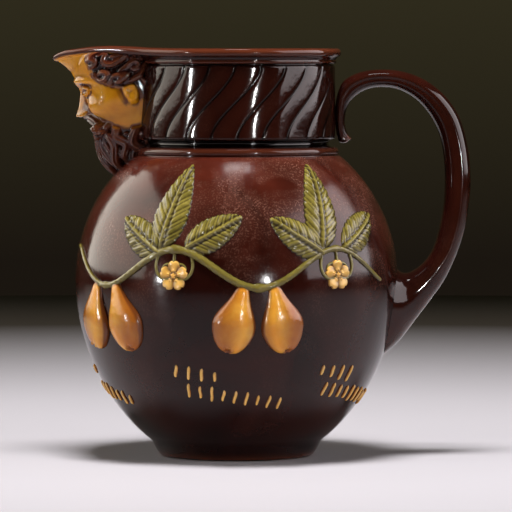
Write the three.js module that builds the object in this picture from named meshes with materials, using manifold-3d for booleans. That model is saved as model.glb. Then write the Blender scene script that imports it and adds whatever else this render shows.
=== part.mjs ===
// A stoneware water jug, slip-cast and luted into one piece: a round belly on a short foot, a neck
// of spiral lobes, a bearded mask under the pouring lip, a looped handle opposite it, and a garland
// of pears and leaves in low relief on the belly. The jug is hollow and open at the mouth.
// Millimetres and degrees, +Z up. The origin is the middle of the underside, the lip points along
// -X and the handle along +X.

import * as THREE from 'three';
import { mergeVertices } from 'three/addons/utils/BufferGeometryUtils.js';
import Module from 'manifold-3d';

const jugHeight = 200;
const wallThickness = 5;
const baseThickness = 7;

const footRadius = 37.5;
const footTopRadius = 42;
const footHeight = 7.6;
const footChamfer = 2.2;

const bellyRadius = 79.2;
const bellyMiddle = 86;
const lowerFullness = 1.9;

const neckRadius = 48.6;
const neckLength = 50.5;
const beadProud = 1.7;
const beadThickness = 4.4;
const coveHeight = 3.4;
const lobeCount = 24;
const lobeDepth = 1.9;
const lobeTwist = 29;

const rimProud = 2.8;
const rimThickness = 4.6;
const rimFilletHeight = 2.4;
const lipReach = 39;
const lipSpread = 18;
const lipDrop = 5.2;

const headHeight = 56;
const headTilt = 22;
const headStandoff = 4.4;
const headBelowRim = 20;
const beardLength = 17;
const channelDepth = 44;

const handleReach = 60.4;
const handleCrown = 14.6;
const handleThickness = 12.4;
const handleWidth = 17;
const rootMiddle = 71;
const rootHeight = 47;
const rootWidth = 38;

const garlandMiddle = 95;
const garlandWave = 9;
const stemRadius = 2.4;
const pearLength = 34;
const pearWidth = 23;
const pearRelief = 5;
const leafLength = 41;
const leafWidth = 21;
const leafRelief = 2.4;

const beadMiddle = jugHeight - neckLength;
const beadRadius = neckRadius + beadProud;
const rimRadius = neckRadius + rimProud;
const coreRadius = neckRadius - lobeDepth;
const neckBore = coreRadius - wallThickness + 0.4;
const mouthRadius = rimRadius - wallThickness - 0.6;
const lobesBottom = beadMiddle + beadThickness / 2 + coveHeight;
const lobesTop = jugHeight - rimThickness - rimFilletHeight;

const weldDistance = 1e-4;
const degrees = Math.PI / 180;
const { abs, cos, sin, exp, hypot, max, min, sign, sqrt } = Math;

const wasm = await Module();
wasm.setup();
const { Manifold, Mesh: SolidMesh } = wasm;

const clamp = (value) => min(1, max(0, value));
const ease = (value) => clamp(value) ** 2 * (3 - 2 * clamp(value));
const mix = (from, to, share) => from + (to - from) * share;
const rounded = (value, power) => sign(value) * abs(value) ** power;

// A soft bump of height 1 at the middle, falling off over the two half-widths.
const bump = (across, up, halfWidth, halfHeight) =>
  exp(-((across / halfWidth) ** 2) - (up / halfHeight) ** 2);

// A smooth curve through [place, value] pairs in rising order of place.
function curveThrough(pairs) {
  const slope = pairs.map((pair, i) => {
    const before = pairs[max(0, i - 1)];
    const after = pairs[min(pairs.length - 1, i + 1)];
    return (after[1] - before[1]) / (after[0] - before[0]);
  });
  return (place) => {
    let i = 0;
    while (i < pairs.length - 2 && place > pairs[i + 1][0]) i++;
    const [x0, y0] = pairs[i];
    const [x1, y1] = pairs[i + 1];
    const span = x1 - x0;
    const t = clamp((place - x0) / span);
    const blend = t * t * (3 - 2 * t);
    const swing = t * (1 - t) * span;
    return mix(y0, y1, blend) + swing * ((1 - t) * slope[i] - t * slope[i + 1]);
  };
}

// A closed geometry as a solid: shared corners are merged, empty triangles dropped, and the faces
// turned outwards if they all point in.
function solid(geometry) {
  geometry.deleteAttribute('normal');
  geometry.deleteAttribute('uv');
  const merged = mergeVertices(geometry, weldDistance);
  const points = merged.attributes.position;
  const corner = [new THREE.Vector3(), new THREE.Vector3(), new THREE.Vector3()];
  const triangles = [];
  let volume = 0;
  for (let i = 0; i < merged.index.count; i += 3) {
    const [a, b, c] = [0, 1, 2].map((k) => merged.index.getX(i + k));
    if (a === b || b === c || c === a) continue;
    triangles.push([a, b, c]);
    [a, b, c].forEach((index, k) => corner[k].fromBufferAttribute(points, index));
    volume += corner[0].dot(corner[1].cross(corner[2]));
  }
  if (volume < 0) triangles.forEach((triangle) => triangle.reverse());
  return new Manifold(new SolidMesh({
    numProp: 3,
    vertProperties: new Float32Array(points.array),
    triVerts: new Uint32Array(triangles.flat()),
  }));
}

// A closed skin of rings. place(turn, along, reach) is the point at the angle turn on the ring that
// lies at along, 0 on the first ring and 1 on the last; reach is 0 at the middle of an end, else 1.
function formed(sides, steps, place) {
  const geometry = new THREE.CylinderGeometry(1, 1, 1, sides, steps);
  const points = geometry.attributes.position;
  const point = new THREE.Vector3();
  for (let i = 0; i < points.count; i++) {
    point.fromBufferAttribute(points, i);
    const turn = Math.atan2(point.x, point.z);
    point.copy(place(turn, 0.5 - point.y, Math.round(hypot(point.x, point.z))));
    points.setXYZ(i, point.x, point.y, point.z);
  }
  return solid(geometry);
}

// A solid of revolution about the Z axis from [radius, height] pairs that start and end on the axis.
function turned(outline, sides) {
  const geometry = new THREE.LatheGeometry(outline.map(([r, z]) => new THREE.Vector2(r, z)), sides);
  return solid(geometry.rotateX(Math.PI / 2));
}

// Belly: above its widest ring a half-ellipse up to the bead, below it a slightly slimmer curve down
// to the foot, in which the share of the height counts with a power under two.
const shoulderHeight = beadMiddle - beadThickness / 2;
const shoulderRadius = beadRadius + 0.6;
const upperRise = (shoulderHeight - bellyMiddle) / sqrt(1 - (shoulderRadius / bellyRadius) ** 2);
const footShare = (1 - (footTopRadius / bellyRadius) ** 2) ** (1 / lowerFullness);
const lowerRise = (bellyMiddle - footHeight) / footShare;
function bellyRadiusAt(height) {
  const up = max(0, height - bellyMiddle) / upperRise;
  const down = max(0, bellyMiddle - height) / lowerRise;
  return bellyRadius * sqrt(max(0, 1 - up ** 2 - down ** lowerFullness));
}

// The [radius, height] of the belly's profile, moved out along its normal by lift.
function bellyProfile(height, lift) {
  const step = 0.1;
  const slope = (bellyRadiusAt(height + step) - bellyRadiusAt(height - step)) / (2 * step);
  const length = hypot(1, slope);
  return [bellyRadiusAt(height) + lift / length, height - (lift * slope) / length];
}

// A point on the belly. The bearing is 0 facing -Y, and grows towards the handle at +X.
function onBelly(bearing, height, lift) {
  const [radius, level] = bellyProfile(height, lift);
  const angle = bearing * degrees;
  return new THREE.Vector3(radius * sin(angle), -radius * cos(angle), level);
}

function bellySteps(from, to, count, lift) {
  return Array.from({ length: count + 1 }, (_, i) => bellyProfile(mix(from, to, i / count), lift));
}

// Foot, belly, bead and the cove above it, turned as one solid.
function turnedBody() {
  const beadTop = beadMiddle + beadThickness / 2;
  return turned([
    [0, 0],
    [footRadius, 0],
    [mix(footRadius, footTopRadius, 0.4), footChamfer],
    ...bellySteps(footHeight, shoulderHeight, 12, 0),
    [beadRadius - 0.5, shoulderHeight + 0.6],
    [beadRadius, beadMiddle],
    [beadRadius - 0.9, beadTop],
    [coreRadius + 0.6, beadTop + 0.7],
    [coreRadius, lobesBottom + 1],
    [0, lobesBottom + 1],
  ], 50);
}

// The lobed neck, with the ridge under the rim as its top rows. Each groove leans over by the twist
// in an S, upright at both ends.
function lobedNeck() {
  const facets = 4;
  const ridge = [[neckRadius - 0.3, jugHeight - rimThickness + 1], [neckRadius + 0.6, lobesTop + 1]];
  const rows = 6;
  return formed(lobeCount * facets, rows + ridge.length, (turn, along, reach) => {
    const row = Math.round(along * (rows + ridge.length)) - ridge.length;
    const share = max(0, row / rows);
    const lean = lobeTwist * degrees * (0.5 - ease(share));
    const angle = turn + lean;
    const lobe = sqrt(abs(sin((turn * lobeCount) / 2)));
    const fade = mix(0.55, 1, ease(share / 0.12) * ease((1 - share) / 0.12));
    const lobed = [coreRadius - 0.2 + (lobeDepth + 0.2) * lobe * fade, mix(lobesTop, lobesBottom, share)];
    const [radius, height] = row < 0 ? ridge[row + ridge.length] : lobed;
    return new THREE.Vector3(reach * radius * cos(angle), reach * radius * sin(angle), height);
  });
}

// The rim in plan: a circle drawn out into the pouring lip. The angle is 0 at the lip.
const lipShare = (angle, spread = lipSpread, power = 1.45) => {
  const softTip = 1.5;
  const away = hypot(angle / degrees, softTip) - softTip;
  return exp(-((away / spread) ** power));
};
// Angles are gathered towards the lip, where the outline bends most.
const gathered = (turn, strength = 0.72) => turn - strength * sin(turn);
const rimRadiusAt = (angle) => rimRadius + lipReach * lipShare(angle);
const rimHeightAt = (angle) => {
  const share = lipShare(angle);
  return jugHeight + 1.2 * sin(Math.PI * clamp(share / 0.75)) - lipDrop * ease((share - 0.55) / 0.45);
};

// The rolled rim as a band from its top face down to the fillet above the lobes.
function rimBand() {
  const section = [[2.2, 0], [0.5, 0.6], [0, 2.1], [0.5, 3.7], [3, rimThickness]];
  return formed(60, section.length - 1, (turn, along, reach) => {
    const [inset, drop] = section[Math.round(along * (section.length - 1))];
    const angle = gathered(turn);
    const radius = reach * (rimRadiusAt(angle) - inset);
    const height = mix(jugHeight, rimHeightAt(angle), reach) - drop;
    return new THREE.Vector3(-radius * cos(angle), radius * sin(angle), height);
  });
}

// Mask: a head whose own frame leans forward by the tilt. Forward, side and up are measured from
// the middle between the ears, with the head's height cut into the usual eighths and thirds.
const eyeLevel = headHeight * 0.125;
const browLevel = headHeight * 0.21;
const noseBase = -headHeight * 0.085;
const mouthLevel = -headHeight * 0.18;
const chinLevel = -headHeight * 0.375;
const foreheadTop = headHeight * 0.36;
const beardTip = chinLevel - beardLength;
const headHalfWidth = headHeight * 0.335;
const faceDepth = headHeight * 0.4;
const earX = -(neckRadius + headStandoff);
const earZ = jugHeight - headBelowRim;

const frontDepth = curveThrough([
  [beardTip - 4, faceDepth * 0.3],
  [beardTip, faceDepth * 0.8],
  [mix(beardTip, chinLevel, 0.6), faceDepth * 1.02],
  [chinLevel, faceDepth * 1.02],
  [mouthLevel, faceDepth * 0.98],
  [eyeLevel, faceDepth * 0.95],
  [browLevel, faceDepth * 1.02],
  [foreheadTop, faceDepth * 0.96],
]);
const sideDepth = curveThrough([
  [beardTip - 4, headHalfWidth * 0.2],
  [beardTip, headHalfWidth * 0.3],
  [chinLevel, headHalfWidth * 0.72],
  [noseBase, headHalfWidth * 0.98],
  [browLevel, headHalfWidth * 1.02],
  [foreheadTop, headHalfWidth * 1.08],
]);

// How far hair or beard stands out of the skin at a place on the head.
function hairRelief(round, up) {
  const aside = abs(round) / degrees;
  const hairline = mix(foreheadTop + 2, browLevel - 3, ease((aside - 42) / 34));
  const scalp = ease((up - hairline) / 3) + ease((aside - 98) / 8);
  const jawline = mix(mouthLevel - 4, mix(mouthLevel, chinLevel, 0.75), ease((aside - 25) / 45));
  const beard = ease((jawline - up) / 3);
  const lock = 0.5 + 0.5 * sin(aside * 0.13 + up * 0.36 * sign(up));
  return (1.1 + 1.2 * lock) * clamp(scalp + beard);
}

// How far the features stand out of the plain head: side is in millimetres from the middle.
function faceRelief(side, up) {
  const aside = abs(side);
  const noseTop = browLevel - 2;
  const noseShare = clamp((noseTop - up) / (noseTop - noseBase - 1.5));
  const noseEnd = ease((up - noseBase + 0.8) / 2.2);
  const nose = noseEnd * 7 * noseShare * bump(side, 0, mix(2.4, 4.2, noseShare ** 3), 1);
  const socket = -2.6 * bump(aside - 7.6, up - eyeLevel - 0.6, 4.6, 3.4);
  const eyeball = 1.9 * bump(aside - 7.8, up - eyeLevel, 3, 2.1);
  const brow = 1.3 * bump(aside - 7.5, up - browLevel - 0.4, 6.5, 1.9);
  const cheek = 1.1 * bump(aside - 10.5, up - noseBase - 1.5, 5, 5);
  const droop = mouthLevel + 3.2 - 0.035 * aside ** 2;
  const moustache = 3 * bump(aside - 4.6, up - droop, 7, 2.3);
  const lip = 1.6 * bump(side, up - mouthLevel + 1.6, 4, 1.6);
  return nose + socket + eyeball + brow + cheek + moustache + lip;
}

// The ear: a raised oval on the side of the head, from brow to nose base, with a dished middle.
function earRelief(round, up) {
  const back = (abs(round) / degrees - 92) * headHalfWidth * degrees;
  const level = up - (browLevel + noseBase) / 2;
  return 4.2 * bump(back, level, 4.4, 7.5) - 2.2 * bump(back + 1, level - 1, 2, 3.6);
}

function onHead(round, up) {
  const front = frontDepth(up);
  const half = sideDepth(up);
  const facing = cos(round) > 0;
  const roundness = facing ? 0.88 : 0.5;
  const back = mix(13, 8, ease((mouthLevel - up) / 20)) + 0.4 * max(0, up);
  const side = half * rounded(sin(round), roundness);
  const forward = (facing ? front : back) * rounded(cos(round), roundness);
  const relief = facing ? faceRelief(side, up) * ease(cos(round) * 2.5) : 0;
  const stand = relief + hairRelief(round, up) + earRelief(round, up);
  return tilted(forward + stand * cos(round), side + stand * sin(round), up);
}

// A point given in the head's own frame, brought into the jug's.
function tilted(forward, side, up) {
  const lean = headTilt * degrees;
  return new THREE.Vector3(
    earX - forward * cos(lean) - up * sin(lean),
    side,
    earZ - forward * sin(lean) + up * cos(lean),
  );
}

// Where a level line from between the ears, in the direction round, meets the rim in plan.
function underRim(round) {
  let near = 0;
  let far = cos(round) > 0 ? lipReach : 14;
  for (let i = 0; i < 24; i++) {
    const middle = (near + far) / 2;
    const x = earX - middle * cos(round);
    const y = middle * sin(round);
    const angle = Math.atan2(y, -x);
    if (hypot(x, y) < rimRadiusAt(angle) - 1.6) near = middle;
    else far = middle;
  }
  const x = earX - near * cos(round);
  const y = near * sin(round);
  const level = rimHeightAt(Math.atan2(y, -x)) - rimThickness / 2;
  return new THREE.Vector3(x, y, level);
}

function mask() {
  const brimShare = 0.12;
  return formed(28, 24, (turn, along, reach) => {
    const round = turn - 0.3 * sin(turn);
    const onFace = max(0, (along - brimShare) / (1 - brimShare));
    const up = mix(foreheadTop, beardTip - 4, onFace);
    const skin = reach ? onHead(round, up) : tilted(0, 0, up);
    skin.z = min(skin.z, jugHeight - rimThickness / 2);
    const brim = reach ? underRim(round) : new THREE.Vector3(earX, 0, jugHeight - 1.5);
    return skin.lerp(brim, (1 - clamp(along / brimShare)) ** 1.6);
  });
}

// Handle: it lies on the neck above an upturned tip, loops over, and spreads into the belly.
const handlePath = new THREE.CatmullRomCurve3([
  [neckRadius + 7.2, beadMiddle + 6.2],
  [neckRadius + 3.3, beadMiddle + 9],
  [neckRadius + 1.4, beadMiddle + 17.5],
  [neckRadius + 3.6, jugHeight - handleCrown - 9.6],
  [neckRadius + 13, jugHeight - handleCrown - 1.2],
  [neckRadius + handleReach * 0.5, jugHeight - handleCrown - 0.8],
  [neckRadius + handleReach * 0.82, jugHeight - handleCrown - 11],
  [neckRadius + handleReach * 0.99, beadMiddle - 0.5],
  [neckRadius + handleReach * 0.965, beadMiddle - 28],
  [neckRadius + handleReach * 0.71, rootMiddle + 17],
].map(([x, z]) => new THREE.Vector3(x, 0, z)));
const halfThickness = curveThrough([
  [0, 1.6], [0.06, 2.6], [0.12, 3.5], [0.22, 4.2], [0.45, 4.9], [0.7, handleThickness / 2], [1, 8],
]);
const halfWidth = curveThrough([
  [0, handleWidth * 0.3], [0.08, handleWidth * 0.42], [0.25, handleWidth * 0.5],
  [0.8, handleWidth * 0.5], [1, handleWidth * 0.62],
]);

function handle() {
  const rootShare = 0.14;
  const rootRun = 20;
  return formed(10, 26, (turn, along, reach) => {
    const share = min(1, along / (1 - rootShare));
    const middle = handlePath.getPointAt(share);
    const tangent = handlePath.getTangentAt(share);
    const outward = new THREE.Vector3(tangent.z, 0, -tangent.x).negate();
    const intoRoot = max(0, (along - 1 + rootShare) / rootShare);
    const across = reach * halfThickness(share) * rounded(cos(turn), 0.9);
    const sideways = reach * halfWidth(share) * rounded(sin(turn), 0.9);
    middle.addScaledVector(outward, across).addScaledVector(tangent, intoRoot * rootRun);
    middle.y += sideways;
    const down = reach * (rootHeight / 2) * cos(turn);
    const aside = ((reach * (rootWidth / 2) * sin(turn)) / bellyRadius) / degrees;
    const sunk = onBelly(90 + aside, rootMiddle - down, -wallThickness / 2);
    return middle.lerp(sunk, intoRoot ** 1.5);
  });
}

// Garland: on each side of the jug a waving stem with pears in its hollows and leaves on its crests.
// Places on the belly are measured along and up from a middle, in millimetres.
function relief(sides, bearing, height, heading, outline, crown, edge) {
  const c = cos(heading * degrees);
  const s = sin(heading * degrees);
  return formed(sides, 2, (turn, along, reach) => {
    const ring = Math.round(along * 2);
    const [across, up] = outline(turn);
    const size = reach * [0.62, 1, 1][ring];
    const lift = [crown * 0.8, edge, -1.6][ring];
    const top = ring === 0 && !reach ? crown : lift;
    const x = size * (across * c + up * s);
    const y = size * (up * c - across * s);
    return onBelly(bearing + x / bellyRadius / degrees, height + y, top);
  });
}

const pearOutline = (turn) => [
  (pearWidth / 2) * rounded(sin(turn), 0.85) * (1 - 0.52 * ease((cos(turn) + 0.35) / 1.1)),
  (pearLength / 2) * cos(turn),
];
const leafOutline = (length, width) => (turn) => [
  (width / 2) * rounded(sin(turn), 1.25) * (1 - 0.25 * cos(turn)),
  (length / 2) * cos(turn),
];

const pear = (bearing, height, heading) =>
  relief(12, bearing, height, heading, pearOutline, pearRelief, 1);
const leaf = (bearing, height, heading, size = 1) =>
  relief(8, bearing, height, heading, leafOutline(leafLength * size, leafWidth * size),
    leafRelief, 0.9);

const waveLength = 60;
const firstCrest = -22;
const stemHeight = (bearing) =>
  garlandMiddle + garlandWave * cos(((bearing - firstCrest) / waveLength) * 2 * Math.PI);

function stem(from, to) {
  return formed(3, 15, (turn, along, reach) => {
    const bearing = mix(from, to, along);
    const slope = (stemHeight(bearing + 0.5) - stemHeight(bearing - 0.5)) / (bellyRadius * degrees);
    const length = hypot(1, slope);
    const radius = reach * stemRadius;
    const across = (-slope / length) * radius * sin(turn);
    const up = (1 / length) * radius * sin(turn);
    return onBelly(bearing + across / bellyRadius / degrees, stemHeight(bearing) + up,
      radius * cos(turn));
  });
}

function garlandSide() {
  const pieces = [stem(-80, 62)];
  for (const hollow of [-52, 8]) {
    const fruitTop = stemHeight(hollow) + 1;
    pieces.push(pear(hollow - 8, fruitTop - pearLength * 0.46, 14));
    pieces.push(pear(hollow + 8, fruitTop - pearLength * 0.46, -14));
  }
  for (const crest of [-22, 38]) {
    const level = stemHeight(crest);
    pieces.push(leaf(crest - 3, level + 20, 12));
    pieces.push(leaf(crest - 15, level + 6, -58, 0.8));
    pieces.push(leaf(crest + 14, level + 8, 62, 0.8));
  }
  return pieces;
}

const mirrored = (piece) => piece.mirror([0, 1, 0]);

// Inside: the belly's own curve less the wall, a round bore, and under the lip a channel that runs
// down behind the mask's face. The channel's front is measured from the rim's own circle.
const boreRadius = curveThrough([
  [beadMiddle, neckBore], [jugHeight - 9, neckBore], [jugHeight - 3, mouthRadius - 1],
  [jugHeight - 0.8, mouthRadius], [jugHeight + 4, mouthRadius + 0.8],
]);
const channelFront = curveThrough([
  [jugHeight - channelDepth, -9], [jugHeight - 40, -4.5], [jugHeight - 30, 7.5],
  [jugHeight - 20, 16.5], [jugHeight - 10, 21.5], [jugHeight - 5, lipReach - 9.5],
  [jugHeight + 4, lipReach - 5.5],
]);
const channelSpread = 14;

function cavity() {
  const inside = [
    ...[4, 0.6, -2, -5, -10, -18, -27, -36, -channelDepth].map((drop) => jugHeight + drop)
      .map((height) => [boreRadius(height), height]),
    ...bellySteps(shoulderHeight + 1, footHeight + 7, 9, -wallThickness),
    [footTopRadius - wallThickness, baseThickness],
  ];
  return formed(40, inside.length - 1, (turn, along, reach) => {
    const [bore, height] = inside[Math.round(along * (inside.length - 1))];
    const angle = gathered(turn, 0.5);
    const share = lipShare(angle, channelSpread, mix(3, 1.45, ease((height - jugHeight + 3) / 3)));
    const drawn = height < jugHeight - channelDepth ? 0 : rimRadius + channelFront(height) - bore;
    const radius = reach * (bore + max(0, drawn) * share);
    return new THREE.Vector3(-radius * cos(angle), radius * sin(angle), height);
  });
}

function jug() {
  const side = garlandSide();
  return Manifold.union([
    turnedBody(), lobedNeck(), rimBand(), mask(), handle(),
    ...side, ...side.map(mirrored),
  ]).subtract(cavity()).simplify(0.05);
}

// A solid's surface as a three.js geometry.
function surfaceOf(piece) {
  const mesh = piece.getMesh();
  const geometry = new THREE.BufferGeometry();
  geometry.setAttribute('position', new THREE.BufferAttribute(mesh.vertProperties, 3));
  geometry.setIndex(new THREE.BufferAttribute(mesh.triVerts, 1));
  geometry.computeVertexNormals();
  return geometry;
}

const treacleGlaze = new THREE.MeshStandardMaterial({
  color: 0x35110b, roughness: 0.12, metalness: 0,
});

const jugMesh = new THREE.Mesh(surfaceOf(jug()), treacleGlaze);
jugMesh.name = 'jug';

const waterJug = new THREE.Group();
waterJug.add(jugMesh);

export default waterJug;
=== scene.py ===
import bpy
import numpy as np
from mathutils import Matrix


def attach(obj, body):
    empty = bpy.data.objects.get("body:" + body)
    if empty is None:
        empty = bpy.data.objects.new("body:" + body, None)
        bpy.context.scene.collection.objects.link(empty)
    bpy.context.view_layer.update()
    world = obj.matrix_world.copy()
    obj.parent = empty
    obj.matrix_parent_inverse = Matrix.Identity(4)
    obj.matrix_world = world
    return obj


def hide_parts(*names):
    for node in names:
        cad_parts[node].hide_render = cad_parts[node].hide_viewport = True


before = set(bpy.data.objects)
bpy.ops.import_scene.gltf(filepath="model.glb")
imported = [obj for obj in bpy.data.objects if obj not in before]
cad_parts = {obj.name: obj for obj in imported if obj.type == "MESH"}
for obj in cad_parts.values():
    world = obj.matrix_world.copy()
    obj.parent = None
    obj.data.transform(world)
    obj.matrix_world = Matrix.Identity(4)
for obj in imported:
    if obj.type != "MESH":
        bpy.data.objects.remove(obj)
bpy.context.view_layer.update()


# Body of the jug: foot, belly, bead, neck of spiral lobes, rim with its pouring lip, and the inside.
# One slip-cast wall of stoneware under a thick treacle-brown glaze, which runs thin and reddish on
# every raised edge. It is made as one skin of rings, from the underside up, over the rim and down.

millimetre = 0.001
jug_height = 200.0
foot_top_radius = 42.0
foot_height = 7.6
belly_radius = 79.2
belly_middle = 86.0
lower_fullness = 1.9
bead_middle = 149.5
bead_radius = 50.3
cove_radius = 46.9
neck_radius = 48.6
lobe_count = 24
lobe_depth = 1.9
lobe_twist = 29.0
groove_depth = 0.25
flute_depth = 0.08
lobes_bottom = 155.2
lobes_top = 192.2
rim_radius = 51.4
rim_thickness = 4.4
lip_reach = 39.0
lip_spread = 18.0
lip_drop = 3.3
wall = 5.0
bore_radius = 42.4
mouth_radius = 45.8
floor_height = 7.0
channel_depth = 44.0
channel_spread = 14.0
least_wall = 1.0
ridge_top = 194.7
body_columns = 408
column_gather = 0.45

shoulder_height = bead_middle - 2.2
shoulder_radius = bead_radius + 0.6


def ease(value):
    """0 below 0, 1 above 1, and between them three times the square less twice the cube."""
    value = np.clip(value, 0.0, 1.0)
    return value**2 * (3.0 - 2.0 * value)


def curve(pairs, place):
    """The smooth curve through (place, value) pairs: a cubic on each stretch, whose slope at each
    pair is that of the chord between the pairs on either side of it."""
    x, y = np.array(pairs, float).T
    before = np.maximum(np.arange(len(x)) - 1, 0)
    after = np.minimum(np.arange(len(x)) + 1, len(x) - 1)
    slope = (y[after] - y[before]) / (x[after] - x[before])
    i = np.clip(np.searchsorted(x, place) - 1, 0, len(x) - 2)
    span = x[i + 1] - x[i]
    t = np.clip((place - x[i]) / span, 0.0, 1.0)
    swing = t * (1.0 - t) * span * ((1.0 - t) * slope[i] - t * slope[i + 1])
    return y[i] + (y[i + 1] - y[i]) * ease(t) + swing


def skin(name, parts):
    """A mesh of closed parts. Each part is an array of rings of points, (rings, columns, 3) in
    millimetres, with its marks: values for the points, kept as attributes. There is a quad between
    each four neighbours, and a fan from the middle of each end ring."""
    points, faces, layers = [], [], {mark: [] for mark in parts[0][1]}
    total = 0
    for rings, marks in parts:
        ring_count, columns = rings.shape[:2]
        place = np.vstack([rings.reshape(-1, 3), rings[0].mean(0), rings[-1].mean(0)]) * millimetre
        here = np.arange(columns)
        there = np.roll(here, -1)
        low = (np.arange(ring_count - 1) * columns)[:, None]
        quads = np.stack([low + here, low + there, low + there + columns, low + here + columns], -1)
        quads = quads.reshape(-1, 4)
        last = (ring_count - 1) * columns
        start = np.full(columns, ring_count * columns)
        fans = np.vstack([np.stack([there, here, start], -1),
                          np.stack([last + here, last + there, start + 1], -1)])
        first, second, third = place[np.vstack([quads[:, :3], quads[:, [0, 2, 3]], fans])].swapaxes(0, 1)
        turned = -1 if np.einsum("ij,ij->i", first, np.cross(second, third)).sum() < 0 else 1
        faces += (quads[:, ::turned] + total).tolist() + (fans[:, ::turned] + total).tolist()
        points.append(place)
        total += len(place)
        for mark, values in marks.items():
            values = np.broadcast_to(values, (ring_count, columns))
            layers[mark] += [values.reshape(-1), [values[0].mean(), values[-1].mean()]]
    mesh = bpy.data.meshes.new(name)
    mesh.from_pydata(np.vstack(points).tolist(), [], faces)
    mesh.polygons.foreach_set("use_smooth", np.ones(len(faces), bool))
    for mark, values in layers.items():
        layer = mesh.attributes.new(mark, "FLOAT", "POINT")
        layer.data.foreach_set("value", np.concatenate(values).astype(np.float32))
    mesh.update()
    piece = bpy.data.objects.new(name, mesh)
    bpy.context.scene.collection.objects.link(piece)
    return piece


def belly_radius_at(height):
    """Above the middle a half-ellipse up to the shoulder, below it a slightly slimmer one whose
    height counts with a power under two, down to the top of the foot."""
    upper_rise = (shoulder_height - belly_middle) / np.sqrt(1 - (shoulder_radius / belly_radius) ** 2)
    foot_share = (1 - (foot_top_radius / belly_radius) ** 2) ** (1 / lower_fullness)
    lower_rise = (belly_middle - foot_height) / foot_share
    up = np.maximum(height - belly_middle, 0) / upper_rise
    down = np.maximum(belly_middle - height, 0) / lower_rise
    return belly_radius * np.sqrt(np.maximum(1 - up**2 - down**lower_fullness, 0))


def belly_profile(height, lift):
    """The belly's (radius, height) moved out by lift along the profile's normal."""
    rise = (belly_radius_at(height + 0.1) - belly_radius_at(height - 0.1)) / 0.2
    length = np.hypot(1.0, rise)
    return belly_radius_at(height) + lift / length, height - lift * rise / length


def lip_share(angle, spread=lip_spread, power=1.45):
    """How much of the lip's reach the rim has at an angle in degrees from the lip: e to the minus
    power of the angle over the spread, with a softened tip."""
    away = np.hypot(angle, 1.5) - 1.5
    return np.exp(-((away / spread) ** power))


def rim_radius_at(angle):
    """The rim in plan: a circle, drawn out by the lip's share of its reach."""
    return rim_radius + lip_reach * lip_share(angle)


def rim_height_at(angle):
    """The rim rises a little before the lip, and drops ever faster towards its tip."""
    share = lip_share(angle)
    swell = 1.2 * np.sin(np.pi * np.clip(share / 0.75, 0, 1))
    return jug_height + swell - lip_drop * np.clip(share * 2 - 1, 0, 1) ** 4


def inside_radius(angle, height):
    """The inside of the neck: a bore that opens at the mouth, and towards the lip a channel whose
    front leans out with height. The channel is blunt below and as pointed as the lip at the top."""
    top = rim_height_at(angle) - 0.9
    down = np.clip((top - height) / (top - jug_height + channel_depth), 0, 1)
    asked = jug_height + 0.6 - (channel_depth + 0.6) * down
    bore = curve([(149.5, bore_radius), (191, bore_radius), (197, mouth_radius - 1),
                  (199.2, mouth_radius), (204, mouth_radius + 0.8)], asked)
    front = curve([(156, -9), (160, -4.5), (170, 7.5), (180, 16.5), (190, 21.5),
                   (195, lip_reach - 9.5), (204, lip_reach - 5.5)], asked)
    drawn = np.maximum(rim_radius + front - bore, 0)
    return bore + drawn * lip_share(angle, channel_spread, 3.0 - 1.55 * ease((asked - 197.0) / 3.0))


def outside_rows():
    """(radius, height, thinness of the glaze) of the plain rings from the underside to the cove."""
    under = [(2.0, 0.0, 0), (18.0, 0.0, 0), (32.0, 0.0, 0), (36.2, 0.0, 0.3), (37.2, 0.15, 0.9),
             (37.9, 0.7, 0.9), (38.5, 1.5, 0.5), (39.3, 2.6, 0.15), (40.1, 4.1, 0), (41.0, 5.9, 0)]
    height = foot_height + (shoulder_height - foot_height) * np.linspace(0, 1, 72)
    belly = [(r, z, 0.0) for r, z in zip(*belly_profile(height, 0.0))]
    bead = [(bead_radius + 2.1 * np.cos(a) - 2.1, bead_middle + 2.15 * np.sin(a), 0.35 * np.cos(a) ** 2)
            for a in np.radians([-62, -42, -22, 0, 22, 42, 62, 80])]
    cove = [(cove_radius + 1.4, bead_middle + 2.25, 0), (cove_radius - 0.6, bead_middle + 2.7, 0),
            (cove_radius - 1.5, bead_middle + 3.6, 0), (cove_radius - 1.7, bead_middle + 4.5, 0),
            (cove_radius - 1.3, bead_middle + 5.2, 0), (cove_radius - 0.4, lobes_bottom - 0.15, 0)]
    return np.array(under + belly + bead + cove)


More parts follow.
